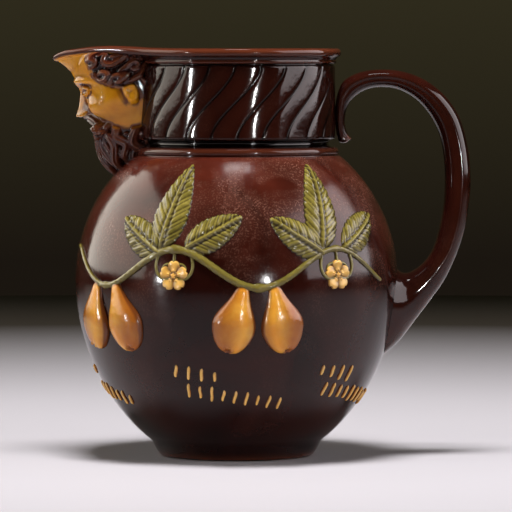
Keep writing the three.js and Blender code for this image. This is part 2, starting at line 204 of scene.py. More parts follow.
def jug_rings():
    """All rings of the body, and their marks for thin glaze, ochre slip, and deep glaze with painted
    shade: near black in the neck's grooves, in the cove and at the lobes' ends. The columns lean with the
    lobes of the neck, and stand closest in the grooves."""
    index = np.arange(body_columns) / (body_columns // lobe_count)
    pull = column_gather * np.sin(2 * np.pi * index) / (2 * np.pi)
    column = (index - pull) * 360 / lobe_count - 180.0
    below = column + lobe_twist / 2
    above = (column - lobe_twist / 2 + 180.0) % 360.0 - 180.0
    parts = []

    def ring_part(*values):
        """Rings by angle, radius, height, thinness, slip, and depth of glaze with painted shade."""
        values += (0.0,) * (6 - len(values))
        count = max(len(np.atleast_2d(x)) for x in values)
        parts.append([np.broadcast_to(x, (count, body_columns)) for x in values])

    plain = outside_rows()
    # Painted shade with pooled glaze: the cove above the bead is marked to go near black.
    cove_shade = ease((plain[:, 1] - bead_middle - 1.9) / 0.6)[:, None]
    ring_part(below, *[plain[:, k][:, None] for k in range(3)], 0.0, cove_shade)

    share = np.linspace(0, 1, 60)[:, None]
    lean = lobe_twist * (ease(share) - 0.5)
    to_groove = 1 - 2 * np.abs(index % 1 - 0.5 - pull)
    off_crest = 1 - np.clip(to_groove, 0, 1)[None]
    fade = (np.clip(share / 0.022, 0, 1) * np.clip((1 - share) / 0.03, 0, 1)) ** 0.5
    flute = groove_depth * off_crest**8 + flute_depth * off_crest**2
    # Painted shade with pooled glaze: the grooves, and both ends of the lobes under the rim and above the
    # cove, are marked to go near black.
    line = np.exp(-(((1 - off_crest) / 0.12) ** 2)) * fade + 0.8 * (1 - fade)
    ring_part(column - lean, neck_radius - flute * fade - lobe_depth * (1 - fade),
              lobes_bottom + (lobes_top - lobes_bottom) * share, 0.06 * (1 - off_crest**2) * fade,
              0.0, line)

    outline = rim_radius_at(above)[None]
    level = rim_height_at(above)[None]
    lip = lip_share(above)[None]
    slim = 1 - 0.30 * lip
    ridge = np.array([(48.2, 192.4, 0), (48.9, 192.75, .25), (49.2, 193.3, .4), (49.0, 194.0, .25)])
    ring_part(above, *[ridge[:, k][:, None] for k in range(3)])
    inward = np.linspace(0, 1, 7)[:, None]
    low_edge = (outline - 2.0, level - rim_thickness * slim)
    under_lip = ease((lip - 0.30) / 0.22)
    ring_part(above, neck_radius + (low_edge[0] - neck_radius) * inward,
              ridge_top + (low_edge[1] - ridge_top) * inward - 0.5 * np.sin(np.pi * inward), 0.0,
              under_lip * np.ones_like(inward))
    around = np.radians([-66, -48, -30, -12, 6, 24, 42, 60, 78, 96])[:, None]
    ring_part(above, outline - 2.2 + 2.2 * np.cos(around),
              level - rim_thickness * slim * (0.5 - 0.5 * np.sin(around)),
              0.6 * np.cos(around - 0.25) ** 2, under_lip * ease((-0.65 - around) / 0.4))

    for part in parts:
        clear_of_channel = np.where(part[2] > bead_middle,
                                    inside_radius(part[0], part[2]) + least_wall, 0)
        part[1] = np.maximum(part[1], clear_of_channel)

    mouth = inside_radius(above[None], level)
    across = np.linspace(0.12, 1, 5)[:, None]
    ring_part(above, (outline - 2.4) * (1 - across) + mouth * across,
              level - 0.1 - 0.7 * across**3, 0.4 * (1 - across))
    down = np.linspace(0.03, 1, 26)[:, None] ** 1.15
    top = level - 0.9
    height = top + (jug_height - channel_depth - top) * down
    ring_part(above, inside_radius(above[None], height), height, 0)

    height = np.linspace(shoulder_height + 1, foot_height + 7, 22)
    radius, height = belly_profile(height, -wall)
    ring_part(above, radius[:, None], height[:, None], 0)
    floor = np.array([(40.0, 8.2), (36.5, 7.2), (32.0, floor_height), (16.0, floor_height),
                      (2.0, floor_height)])
    ring_part(above, floor[:, :1], floor[:, 1:], 0)

    angle, radius, height, thin, slip, deep_and_shade = [np.vstack([part[k] for part in parts]) for k in range(6)]
    angle = np.radians(angle)
    rings = np.stack([-radius * np.cos(angle), radius * np.sin(angle), height], -1)
    return rings, {"thin": thin, "slip": slip, "deep_and_shade": deep_and_shade}


class Value:
    """A socket of a shader. An expression on it, such as 1 - mask, adds its Math nodes."""

    def __init__(self, shader, socket):
        self.shader = shader
        self.socket = socket

    def math(self, operation, first, second=0.0):
        return self.shader.node("ShaderNodeMath", {"operation": operation}, {0: first, 1: second})

    def __add__(self, other):
        return self.math("ADD", self, other)

    def __rsub__(self, other):
        return self.math("SUBTRACT", other, self)

    def __mul__(self, other):
        return self.math("MULTIPLY", self, other)

    def __pow__(self, power):
        return self.math("POWER", self, power)

    def clamped(self):
        return self.math("MINIMUM", self.math("MAXIMUM", self, 0.0), 1.0)

    __radd__ = __add__
    __rmul__ = __mul__


class Shader:
    """The nodes of a material or of the room's light. All but its surface come from node()."""

    def __init__(self, owner, surface="Principled BSDF", place="Object", **fixed):
        owner.use_nodes = True
        self.owner = owner
        self.tree = owner.node_tree
        self.surface = self.tree.nodes[surface]
        for socket, value in fixed.items():
            self.surface.inputs[socket.replace("_", " ")].default_value = value
        self.place = self.node("ShaderNodeTexCoord", output=place)

    def node(self, kind, settings=None, sockets=None, output=0):
        """A new node: its settings are set first, and then its sockets get values or links."""
        made = self.tree.nodes.new(kind)
        for name, value in (settings or {}).items():
            if name == "stops":
                for stop, (position, level) in zip(made.color_ramp.elements, value):
                    stop.position = position
                    stop.color = (level, level, level, 1.0)
            else:
                setattr(made, name, value)
        for name, value in (sockets or {}).items():
            if isinstance(value, Value):
                self.tree.links.new(value.socket, made.inputs[name])
            else:
                made.inputs[name].default_value = value
        return Value(self, made.outputs[output])

    def mark(self, name):
        """An attribute that the mesh carries on its points."""
        return self.node("ShaderNodeAttribute", {"attribute_name": name}, output="Fac")

    def noise(self, scale, detail=3.0, distortion=0.0):
        return self.node("ShaderNodeTexNoise", sockets={
            "Vector": self.place, "Scale": scale, "Detail": detail, "Distortion": distortion})

    def stretch(self, value, low, high):
        """0 at low and 1 at high, straight between them and level outside."""
        stops = [(low, 0.0), (high, 1.0)]
        return self.node("ShaderNodeValToRGB", {"stops": stops}, {0: value})

    def blend(self, share, first, second):
        """The first colour where the share is 0, and the second where it is 1."""
        return self.node("ShaderNodeMix", {"data_type": "RGBA"}, {0: share, 6: first, 7: second}, 2)

    def feed(self, **linked):
        for socket, value in linked.items():
            self.tree.links.new(value.socket, self.surface.inputs[socket.replace("_", " ")])

    def bumps(self, height, depth):
        """Tilts the surface by a height from 0 to 1 that stands for a depth in metres."""
        normal = self.node("ShaderNodeBump", sockets={"Distance": depth, "Height": height})
        self.feed(Normal=normal)


treacle = (0.026, 0.0042, 0.0024, 1.0)
pooled = (0.011, 0.0022, 0.0016, 1.0)
thin_edge = (0.165, 0.038, 0.015, 1.0)
deep_and_shade_brown = (0.0035, 0.0012, 0.0010, 1.0)
ruddy = (0.074, 0.0125, 0.0065, 1.0)
dusty = (0.175, 0.072, 0.048, 1.0)
ochre = (0.67, 0.235, 0.005, 1.0)
pale_ochre = (0.84, 0.375, 0.014, 1.0)


def brown_glaze(name, warmth):
    """Treacle glaze: darker where it pools in clouds, reddish where the thin mark is high, near black on
    the deep-and-shade mark, which is pooled glaze and painted shade, and ochre on the slip mark. The upper
    belly is ruddier, by the warmth, and misted in patches with fine specks."""
    shader = Shader(bpy.data.materials.new(name), IOR=1.31)
    cloud = shader.stretch(shader.noise(28.0, 4.0, 0.6), 0.35, 0.7)
    base = shader.blend(cloud, pooled, treacle)
    thin = (shader.mark("thin") * (0.65 + 0.7 * shader.noise(60.0, 2.0))).clamped()
    base = shader.blend(thin, base, thin_edge)
    level = shader.node("ShaderNodeSeparateXYZ", sockets={0: shader.place}, output="Z")
    share = level * (1.0 / (jug_height * millimetre))
    upper = shader.stretch(share, 0.34, 0.66) * (1.0 - shader.stretch(share, 0.735, 0.75))
    mottled = shader.stretch(shader.noise(26.0, 4.0, 0.8), 0.32, 0.62)
    base = shader.blend(upper * warmth * (0.16 + 0.84 * mottled), base, ruddy)
    patch = shader.stretch(shader.noise(34.0, 3.0, 0.8), 0.44, 0.64)
    patch = patch * (0.12 + 0.88 * upper) * (0.3 + 0.7 * warmth)
    speckle = shader.stretch(shader.noise(1150.0, 2.0), 0.52, 0.64)
    base = shader.blend((patch * (0.16 + 0.62 * speckle)).clamped(), base, dusty)
    # Painted shade, with pooled glaze: this mark turns the grooves, the cove and the lobes' ends near
    # black.
    deep_and_shade = shader.mark("deep_and_shade")
    base = shader.blend(deep_and_shade, base, deep_and_shade_brown)
    slip = shader.mark("slip")
    base = shader.blend(slip, base, shader.blend(cloud, ochre, pale_ochre))
    shader.feed(Base_Color=base, Roughness=0.07 + (0.16 * patch + 0.07 * upper) * warmth + 0.04 * speckle)
    shader.bumps(shader.noise(60.0, 2.0) * 0.85 + shader.noise(500.0, 2.0) * 0.15, 0.00014)
    return shader.owner


jug_body = skin("jug_body", [jug_rings()])
jug_body.data.materials.append(brown_glaze("body glaze", 1.0))
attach(jug_body, "root")
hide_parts("jug")


# Handle: a pulled or cast strap of the same clay, luted to the neck above an upturned tip and
# spread into the belly with a thumbed root. Rings stand between two curves in the plane of the lip,
# its inner and its outer edge, and the last ones open into an oval that sinks into the belly.

root_middle = 71.0
root_height = 47.0
root_width = 39.0
root_share = 0.045
tip_share = 0.012
flank_channel = 0.085
section_power = 0.9
handle_edges = [
    (56.6, 156.4, 56.3, 154.9), (55.0, 157.8, 53.6, 153.4), (53.9, 160.3, 50.2, 154.4),
    (53.3, 164.7, 48.6, 162.3), (54.1, 170.1, 48.6, 171.6), (56.3, 174.3, 49.8, 178.5),
    (60.5, 178.0, 52.9, 184.2), (65.7, 180.2, 60.8, 188.3), (71.6, 180.9, 70.6, 189.6),
    (78.0, 180.2, 80.4, 188.9), (84.4, 177.5, 89.3, 186.1), (90.0, 173.3, 97.2, 181.4),
    (95.2, 166.9, 104.5, 174.3), (99.1, 159.3, 110.0, 165.2), (101.4, 150.0, 113.7, 151.9),
    (102.4, 137.7, 115.2, 136.7), (101.8, 123.9, 114.4, 124.6), (99.9, 112.6, 112.3, 111.1),
    (96.4, 101.0, 107.7, 97.3), (92.0, 94.6, 101.8, 85.3), (87.1, 90.8, 93.7, 73.9),
    (83.4, 89.5, 86.3, 64.1), (80.4, 90.3, 80.4, 56.2), (78.0, 93.1, 75.5, 50.3),
    (75.5, 96.3, 70.8, 47.6),
]
handle_half_width = [(0, 5.1), (0.08, 7.1), (0.25, 8.5), (0.78, 8.7), (0.88, 10.2), (0.94, 12.6), (1, 19)]
handle_columns = 72
handle_rings = 300


def rounded(value, power):
    """The value's size to a power, with its sign kept: under 1 it squares a circle's corners."""
    return np.sign(value) * np.abs(value) ** power


def on_belly(bearing, height, lift):
    """A point on the belly. The bearing in degrees is 0 facing -Y and grows towards the handle."""
    radius, level = belly_profile(height, lift)
    angle = np.radians(bearing)
    return np.stack([radius * np.sin(angle), -radius * np.cos(angle), level + 0 * angle], -1)


def even_run(edges, count):
    """Smooth curves through rows of inner x and z and outer x and z, at count places that are
    evenly spaced along the line midway between the two."""
    def run(rows):
        """Twice the distance along the middle line, up to each row."""
        steps = np.hypot(*np.diff(rows[:, :2] + rows[:, 2:], axis=0).T)
        return np.append(0, np.cumsum(steps))

    edges = np.array(edges)
    key = run(edges)
    fine = np.linspace(0, key[-1], 4000)
    path = np.stack([curve(np.stack([key, column], -1), fine) for column in edges.T], -1)
    length = run(path)
    even = np.linspace(0, length[-1], count)
    return np.stack([np.interp(even, length, column) for column in path.T], -1)


def handle_skin():
    """Superelliptic rings between the edges, with a shallow channel down each flank. Over the root's
    share they ease into the oval just under the belly's surface."""
    along = np.linspace(0, 1, handle_rings)
    edges = even_run(handle_edges, handle_rings)
    middle, half = (edges[:, :2] + edges[:, 2:]) / 2, (edges[:, 2:] - edges[:, :2]) / 2
    turn = np.linspace(0, 2 * np.pi, handle_columns, endpoint=False)[None]
    tip = np.sqrt(np.clip(along / tip_share, 0, 1))[:, None]
    thick = tip * rounded(np.cos(turn), section_power)
    depth = flank_channel * (1 - ease((along - 0.74) / 0.1))[:, None]
    hollow = depth * np.exp(-(((np.cos(turn) + 0.08) / 0.30) ** 2))
    flank = rounded(np.sin(turn), section_power) * (1 - hollow)
    wide = curve(handle_half_width, along)[:, None] * (0.55 + 0.45 * tip) * flank
    tube = np.stack([middle[:, :1] + half[:, :1] * thick, wide, middle[:, 1:] + half[:, 1:] * thick], -1)
    aside = np.degrees(root_width / 2 * np.sin(turn) / belly_radius)
    sunk = on_belly(90 + aside, root_middle - root_height / 2 * np.cos(turn), -wall / 2)
    blend = ease((along - 1 + root_share) / root_share)[:, None, None]
    return tube * (1 - blend) + sunk * blend, turn, along


rings, turn, along = handle_skin()
edge = 0.10 * np.abs(np.sin(turn)) ** 12 * np.clip(1.4 - along[:, None], 0, 1)
worn = 0.22 * np.clip(np.cos(turn) - 0.15, 0, 1) * ease((along - 0.5) / 0.2)[:, None]
thin = np.clip(edge + worn + 0.8 * (1 - ease(along / 0.02))[:, None], 0, 1)
handle = skin("handle", [(rings, {"thin": thin})])
handle.data.materials.append(brown_glaze("handle glaze", 0.0))
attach(handle, "root")
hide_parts("jug")


# Mask under the pouring lip: a bearded head, pressed in a mould and luted to the neck, leaning
# forward under the lip. Bare skin is golden ochre slip, hair and beard are brown glaze. It is a skin
# of rings round the head's own upright, with each feature added as a soft bump.

head_height = 56.0
head_tilt = 22.0
head_rows = 280
head_columns = 336
closing_rings = 14
brim_share = 0.12
flare_lift = 5.5
crown_drop = 5.5
crown_half_angle = 28
crown_fade = 26
mask_clearance = 1.3
anchor_radius = 44.4
anchor_depth = 0.4
anchor_half_width = 3.0
anchor_height = 153.0
ear_x = -(neck_radius + 4.4)
ear_z = jug_height - 20.0

eye_level = head_height * 0.125
brow_level = head_height * 0.21
nose_base = -head_height * 0.085
mouth_level = -head_height * 0.18
chin_level = -head_height * 0.375
forehead_top = head_height * 0.36
beard_tip = chin_level - 17.0
head_half_width = head_height * 0.335
face_depth = head_height * 0.4

burnt_and_shade = (0.15, 0.040, 0.008, 1.0)
hair_brown = (0.085, 0.018, 0.009, 1.0)
hair_edge = (0.115, 0.030, 0.011, 1.0)


def bump(across, along, half_width, half_height):
    """1 at the middle, falling as e to the minus square of the distance in half-widths."""
    return np.exp(-((across / half_width) ** 2) - (along / half_height) ** 2)


def face_relief(side, up):
    """Nose, sockets, lids, brows, cheeks and lips, as heights on the plain head."""
    aside = np.abs(side)
    share = np.clip((brow_level - 2 - up) / (brow_level - 3.5 - nose_base), 0, 1)
    nose_end = ease((up - nose_base + 2.2) / 4.4)
    nose = nose_end * 6.6 * share**1.15 * np.exp(-((aside / (2.2 + 1.5 * share**3)) ** 2.4))
    nose = nose + 0.9 * bump(side, up - nose_base - 2.2, 2.3, 2.0)
    wing = 2.1 * bump(aside - 3.4, up - nose_base - 1.7, 1.6, 1.9)
    nostril = -1.8 * bump(aside - 2.1, up - nose_base + 0.6, 0.9, 0.7)
    socket = -2.8 * bump(aside - 7.8, up - eye_level - 0.8, 5.0, 3.6)
    ball = 2.6 * np.sqrt(np.clip(1 - ((aside - 8.0) / 4.5) ** 2 - ((up - eye_level) / 3.0) ** 2, 0, 1))
    upper_arc = eye_level + 1.7 - 0.085 * (aside - 8.0) ** 2
    lower_arc = eye_level - 1.6 + 0.07 * (aside - 8.0) ** 2
    span = ease((5.2 - np.abs(aside - 8.0)) / 1.4)
    upper_lid = 0.9 * span * np.exp(-(((up - upper_arc) / 0.6) ** 2))
    lower_lid = 0.6 * span * np.exp(-(((up - lower_arc) / 0.55) ** 2))
    crease = -0.6 * span * np.exp(-(((up - upper_arc - 1.5) / 0.45) ** 2))
    iris = -0.45 * bump(aside - 8.2, up - eye_level, 1.0, 1.0)
    brow_arc = brow_level + 1.2 - 0.035 * (aside - 6.5) ** 2
    brow = 1.7 * bump(aside - 7.8, up - brow_arc, 5.8, 1.6)
    cheek = 1.6 * bump(aside - 11.2, up - nose_base - 2.6, 4.8, 3.8)
    fold = -0.7 * bump(aside - 7.0 - 0.5 * (nose_base - up), up - nose_base + 0.5, 1.2, 3.4)
    lower_lip = 1.7 * bump(side, up - mouth_level + 1.5, 3.9, 1.0)
    parting = -0.7 * bump(side, up - mouth_level - 0.2, 4.4, 0.5)
    return (nose + wing + nostril + socket + ball + upper_lid + lower_lid + crease + iris + brow
            + cheek + fold + lower_lip + parting)


def locks(x, y, paths, strands=0.12):
    """Rounded locks of hair over a plane: the highest, at each place, of many small domes strung
    along smooth paths. A path is its points, its width and its height; both taper at its ends."""
    relief = np.zeros(np.broadcast(x, y).shape)
    t = np.linspace(0, 1, 34)
    for points, width, height in paths:
        knots = np.linspace(0, 1, len(points))
        middle = [curve(np.stack([knots, column], -1), t) for column in np.array(points, float).T]
        taper = 0.5 + 0.5 * np.sin(np.pi * (0.1 + 0.82 * t)) ** 0.7
        for px, py, size in zip(*middle, taper):
            away = ((x - px) ** 2 + (y - py) ** 2) / (width * size) ** 2
            inside = np.clip(1 - away, 0, 1)
            dome = np.sqrt(inside) + strands * inside * np.cos(3 * np.pi * np.sqrt(1 - inside))
            relief = np.maximum(relief, height * size * dome)
    return relief


def spiral(x, y, radius, start, sweep):
    """Points of a curl that winds in from a radius, by angles in degrees."""
    t = np.linspace(0, 1, 9)
    angle = np.radians(start + sweep * t)
    reach = radius * (1 - 0.75 * t)
    return np.stack([x + reach * np.cos(angle), y + reach * np.sin(angle)], -1)


def round_head(aside):
    """Millimetres round the head from the middle of the face, by the angle in degrees."""
    return aside * head_half_width * np.pi / 180


def moustache(aside, up):
    """Two full locks a side that sweep out and down from under the nose into the beard."""
    level = mouth_level
    relief = locks(round_head(aside), up, [
        ([(0.4, level + 3.4), (3.6, level + 3.3), (7.0, level + 1.4), (10.0, level - 1.6),
          (12.6, level - 3.6), (15.0, level - 3.4)], 2.7, 3.6),
        ([(1.2, level + 1.3), (4.2, level + 0.4), (7.2, level - 2.4), (9.4, level - 6.2)], 2.2, 2.7),
    ])
    return relief, ease(relief / 0.9 - 0.2)


def hairline(aside):
    """The height of the hair's lower edge by the angle round from the face, in degrees: high over
    the forehead, down over the temple, across the top of the ear and down behind it."""
    return curve([(0, 40), (50, 34), (57, 22), (61, 12), (70, 6.4), (84, 2.2), (96, 0.5), (103, -8),
                  (108, -24), (180, -30)], aside)


def beard_line(aside):
    """The height of the beard's upper edge: under the lip, beside the mouth, and along the jaw."""
    return curve([(0, -13.5), (14, -13.0), (22, -11.5), (34, -10.0), (48, -12.5), (66, -16.5), (90, -19.0),
                  (180, -21.0)], aside)


def hair_relief(aside, up):
    """Curls along the brow and waves swept back over the ear, and how surely a place is hair."""
    hair = ease((up - hairline(aside)) / 1.6 + 0.5)
    relief = locks(round_head(aside), up, [
        (spiral(20.4, 18.0, 3.0, 200, -330), 1.9, 2.9), (spiral(23.2, 11.0, 3.3, 150, 340), 2.0, 3.1),
        (spiral(27.6, 6.2, 2.8, 190, -320), 1.8, 2.7), (spiral(28.6, 16.6, 3.2, 120, 330), 2.0, 2.8),
        (spiral(33.0, 9.2, 3.0, 170, -340), 1.9, 2.8),
        ([(20, 24), (25, 21.5), (31, 23.5), (37, 21)], 2.3, 2.2),
        ([(31, 20), (35, 17.0), (40, 18.0), (45, 14)], 2.4, 2.6),
        ([(32, 13.5), (36.5, 12.0), (40, 13.5), (46, 10)], 2.3, 2.4),
        ([(31, 3.6), (35.5, 4.6), (39, 7.5), (45, 5)], 2.2, 2.4),
        ([(36, 2.5), (38.6, -1.5), (37.6, -6.5), (39.5, -12)], 2.0, 2.2),
        ([(40, 3.0), (42.6, -3), (41.6, -9), (43.5, -15)], 2.2, 2.5),
        ([(44.5, 6), (46.6, -1), (45.6, -8), (47, -16)], 2.3, 2.2),
        ([(38, 23), (43, 20), (48, 13)], 2.3, 2.2),
    ])
    return hair * (0.5 + relief), hair


def beard_relief(aside, up):
    """Long locks that wave downwards and draw in towards the tip, in two layers."""
    beard = ease((beard_line(aside) - up) / 1.6 + 0.5)
    down = np.linspace(0, 1, 11)
    paths = []
    for lock in range(13):
        across = 0.5 + 2.85 * lock
        top = beard_line(np.array(across / head_half_width * 180 / np.pi)) - 0.2 - 1.6 * (lock % 3)
        sway = (1.8 - 0.5 * down) * np.sin(2 * np.pi * (1.15 * down + 0.37 * lock))
        bottom = beard_tip - 3 + 3.5 * (lock % 4)
        points = np.stack([across + sway, top + (bottom - top) * down], -1)
        paths.append((points, 2.6, 2.4 + 0.9 * (lock % 2)))
    return beard * (0.3 + locks(round_head(aside), up, paths)), beard


def ear_relief(forward, up):
    """A rolled outer edge and the fold inside it, round a hollow, with the flap before it and the
    lobe at its foot."""
    back = -(forward + 1.1)
    level = up + 0.9
    ring = np.hypot(back / 3.2, level / 6.6)
    plate = 1.5 * ease((1.2 - ring) / 0.4)
    rolled = 0.9 * np.exp(-(((ring - 0.82) / 0.17) ** 2)) * ease((back + 2.6) / 2.0)
    fold = 0.6 * np.exp(-(((np.hypot((back - 0.1) / 1.5, (level - 0.6) / 3.6) - 0.9) / 0.25) ** 2))
    fold = fold * ease((back + 0.6) / 1.2)
    hollow = -1.2 * bump(back + 0.5, level + 0.8, 1.0, 1.7)
    flap = 0.7 * bump(back + 2.1, level + 0.9, 0.8, 1.2)
    lobe = 0.8 * bump(back + 0.9, level + 5.0, 1.5, 1.4)
    return plate + rolled + fold + hollow + flap + lobe


def tilted(forward, side, up):
    """From the head's own forward, side and up to the jug's x, y and z."""
    lean = np.radians(head_tilt)
    return np.stack(np.broadcast_arrays(
        ear_x - forward * np.cos(lean) - up * np.sin(lean),
        side,
        ear_z - forward * np.sin(lean) + up * np.cos(lean),
    ), -1)


def brim_points(around):
    """Where a level line from between the ears meets the rim in plan, found by halving."""
    near = np.zeros_like(around)
    far = np.where(np.cos(around) > 0, lip_reach, 14.0)
    for _ in range(30):
        middle = (near + far) / 2
        x = ear_x - middle * np.cos(around)
        y = middle * np.sin(around)
        angle = np.degrees(np.arctan2(y, -x))
        inside = np.hypot(x, y) < rim_radius_at(angle) - 1.5
        near, far = np.where(inside, middle, near), np.where(inside, far, middle)
    return np.stack([x, y, rim_height_at(angle) - rim_thickness * 0.55], -1)


def mask_skin():
    """The head's rings from under the rim down to the beard's tip, and its marks for hair, and for pooled
    glaze with painted shade.
    """
    turn = np.linspace(-np.pi, np.pi, head_columns, endpoint=False)[None]
    around = turn - 0.3 * np.sin(turn)
    along = np.linspace(0, 1, head_rows)[:, None]
    aside = np.abs(np.degrees(around))
    top = forehead_top - crown_drop * (1 - ease((aside - crown_half_angle) / crown_fade))
    up = top + (beard_tip - 4 - top) * np.maximum(0, (along - brim_share) / (1 - brim_share))
    front = curve([(beard_tip - 4, face_depth * 0.3), (beard_tip, face_depth * 0.8),
                   (beard_tip * 0.6 + chin_level * 0.4, face_depth * 1.0), (chin_level, face_depth * 1.0),
                   (mouth_level, face_depth * 0.95), (nose_base, face_depth * 0.97),
                   (eye_level, face_depth * 0.98), (brow_level, face_depth * 1.03),
                   (forehead_top, face_depth * 0.97)], up)
    half = curve([(beard_tip - 4, head_half_width * 0.2), (beard_tip, head_half_width * 0.3),
                  (chin_level, head_half_width * 0.70), (nose_base, head_half_width * 0.96),
                  (brow_level, head_half_width * 1.0), (forehead_top, head_half_width * 1.04)], up)
    back = 13 - 5 * ease((mouth_level - up) / 20) + 0.4 * np.maximum(0, up)
    facing = np.cos(around) > 0
    roundness = np.where(facing, 0.88, 0.5)
    side = half * rounded(np.sin(around), roundness)
    forward = np.where(facing, front, back) * rounded(np.cos(around), roundness)

    hair, hair_mask = hair_relief(aside, up)
    beard, beard_mask = beard_relief(aside, up)
    lip_hair, lip_mask = moustache(aside, up)
    frontal = ease(np.cos(around) * 2.5)
    lip_hair, lip_mask = lip_hair * frontal, lip_mask * frontal
    face = face_relief(side, up) * frontal
    ear = ear_relief(forward, up) * (1 - hair_mask)
    stand = face + lip_hair + hair + beard + ear
    skin_points = tilted(forward + stand * np.cos(around), side + stand * np.sin(around), up)
    flare = (1 - np.clip(along / brim_share, 0, 1))[..., None]
    bend = tilted(forward, side, up + flare_lift)
    for points in (skin_points, bend):
        points[..., 2] = np.minimum(points[..., 2], jug_height - rim_thickness / 2)
    rings = skin_points * (1 - flare)**2 + bend * 2 * flare * (1 - flare) + brim_points(around) * flare**2

    hairy = np.maximum(np.maximum(hair_mask, beard_mask), lip_mask)
    hairy = hairy * (1 - ease((0.75 - along / brim_share) / 0.5) * ease((60 - aside) / 6))
    smooth = stand - sum(np.roll(stand, step, 1) for step in (-7, -4, 4, 7)) / 4
    smooth = smooth + stand - (np.roll(stand, 6, 0) + np.roll(stand, -6, 0)) / 2
    smooth[:8] = smooth[-8:] = 0
    # Painted shade: the eye sockets, the hollows under the cheekbones, the temples and the folds beside
    # the nose are marked darker, on top of the pooling in concave places.
    hollows = (0.55 * bump(np.abs(side) - 7.8, up - eye_level - 1.0, 4.6, 3.4)
               + 0.40 * bump(np.abs(side) - 12.5, up - nose_base + 5.5, 3.6, 3.2)
               + 0.35 * bump(aside - 66, up - brow_level + 0.5, 9.0, 4.5)
               + 0.40 * bump(np.abs(side) - 5.0, up - nose_base - 5.0, 1.4, 4.5))
    pool_and_shade = np.clip(-smooth * 1.1 + hollows, 0, 1)
    raised = np.clip(smooth * 0.9 - 0.15, 0, 1)
    marks = {"hair": hairy, "pool_and_shade": pool_and_shade, "thin": raised * hairy}
    return within_wall(rings), {name: np.vstack([values[:1]] * closing_rings + [values])
                                for name, values in marks.items()}


def within_wall(rings):
    """The rings with more put before them, which go down from the rim to a small loop in the wall of
    the neck. All keep the mask's clearance from the inside of the jug, so the spout stays open."""
    down = np.linspace(1, 0, closing_rings, endpoint=False)[:, None, None]
    turn = np.linspace(-np.pi, np.pi, head_columns, endpoint=False)[None]
    loop = np.stack([-anchor_radius - anchor_depth * np.cos(turn), anchor_half_width * np.sin(turn),
                     anchor_height + 0 * turn], -1)
    share = down ** [0.7, 0.7, 1.0]
    rings = np.vstack([rings[:1] * (1 - share) + loop * share, rings])
    x, y, height = np.moveaxis(rings, -1, 0)
    angle, radius = np.degrees(np.arctan2(y, -x)), np.hypot(x, y)
    inside = np.where(height > shoulder_height, inside_radius(angle, height),
                      belly_radius_at(height) - wall)
    rings[..., :2] *= (np.maximum(radius, inside + mask_clearance) / radius)[..., None]
    return rings


def slip_glaze(name, plain, light, shade):
    """Coloured slip under clear glaze: clouded between two tones, and browned by the pool-and-shade mark,
    which is pooled glaze where the brown glaze has run into the hollows and painted shade where that mark
    is laid on."""
    shader = Shader(bpy.data.materials.new(name), IOR=1.40)
    cloud = shader.stretch(shader.noise(110.0, 4.0, 0.5), 0.35, 0.68)
    base = shader.blend(cloud, plain, light)
    pool_and_shade = (shader.mark("pool_and_shade") * (0.75 + 0.6 * shader.noise(260.0, 2.0))).clamped()
    base = shader.blend(pool_and_shade, base, shade)
    return shader, base


def mask_glaze():
    """Ochre slip on bare skin and brown glaze on hair, burnt where the hair mark is halfway, and darkened
    on the pool-and-shade mark, which is pooled glaze and painted shade.
    """
    shader, base = slip_glaze("ochre and brown glaze", ochre, pale_ochre, burnt_and_shade)
    hair = shader.mark("hair")
    brown = shader.blend(shader.stretch(shader.noise(120.0, 3.0), 0.3, 0.6), treacle, hair_brown)
    brown = shader.blend(shader.mark("thin"), brown, hair_edge)
    # Painted shade, with pooled glaze: hollows in the hair go near black.
    brown = shader.blend(shader.mark("pool_and_shade") * 0.55, brown, deep_and_shade_brown)
    edge = (4.0 * hair * (1 - hair)).clamped()
    base = shader.blend(edge * 0.6, shader.blend(hair, base, brown), burnt_and_shade)
    shader.feed(Base_Color=base, Roughness=0.08 + (0.10 - 0.08 * hair) * shader.noise(80.0, 3.0))
    shader.bumps(shader.noise(300.0, 3.0), 0.00015)
    return shader.owner


rings, marks = mask_skin()
mask_head = skin("mask_head", [(rings, marks)])
mask_head.data.materials.append(mask_glaze())
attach(mask_head, "root")
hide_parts("jug")


# Garland, on each side of the jug: a waving stem of brown clay with pairs of golden pears in its
# hollows, and olive leaves, blossoms and tendrils on its crests. Each motif is pressed from a mould,
# luted to the belly and painted with slip; its sides go on a little way into the wall.

garland_middle = 95.0
garland_wave = 9.0
wave_length = 60.0
first_crest = -22.0
stem_radius = 2.4
stem_from, stem_to = -80.0, 62.0
crests = (first_crest, first_crest + wave_length)
hollows = (first_crest - wave_length / 2, first_crest + wave_length / 2)
pear_length = 34.0
pear_width = 23.0
pear_relief = 5.0
pear_spread = 8.0
pear_lean = 14.0
leaf_length = 41.0
leaf_width = 21.0
leaf_relief = 2.4
sunk = -1.6


def laid(x, y, lift, bearing, height, heading):
    """A motif's own millimetres, x across it and y along it, laid on the belly about a place. Its
    y axis leans over to the right by the heading."""
    lean = np.radians(heading)
    across = x * np.cos(lean) + y * np.sin(lean)
    up = y * np.cos(lean) - x * np.sin(lean)
    return on_belly(bearing + np.degrees(across / belly_radius), height + up, lift)


def motif(place, length, half_width, top, ring_count, top_columns):
    """Rings along the motif's y axis, each with its top face and then an underside in the wall.
    half_width is by c, which is the cosine-spaced share -1..1 of half the length; top gives the
    lift and the marks by x, y, the share v of the half-width, and c."""
    c = -np.cos(np.pi * np.linspace(0.015, 0.985, ring_count))[:, None]
    v = np.concatenate([np.linspace(-1, 1, top_columns), np.linspace(0.9, -0.9, 5)])[None]
    x = half_width(c) * v
    y = length / 2 * c + 0 * v
    lift, marks = top(x, y, v, c)
    lift = np.where(np.arange(v.size) < top_columns, lift, sunk)
    return laid(x, y, lift, *place), marks


def both_sides(parts):
    """The parts and their mirror images at the back of the jug."""
    return parts + [(rings * [1, -1, 1], marks) for rings, marks in parts]


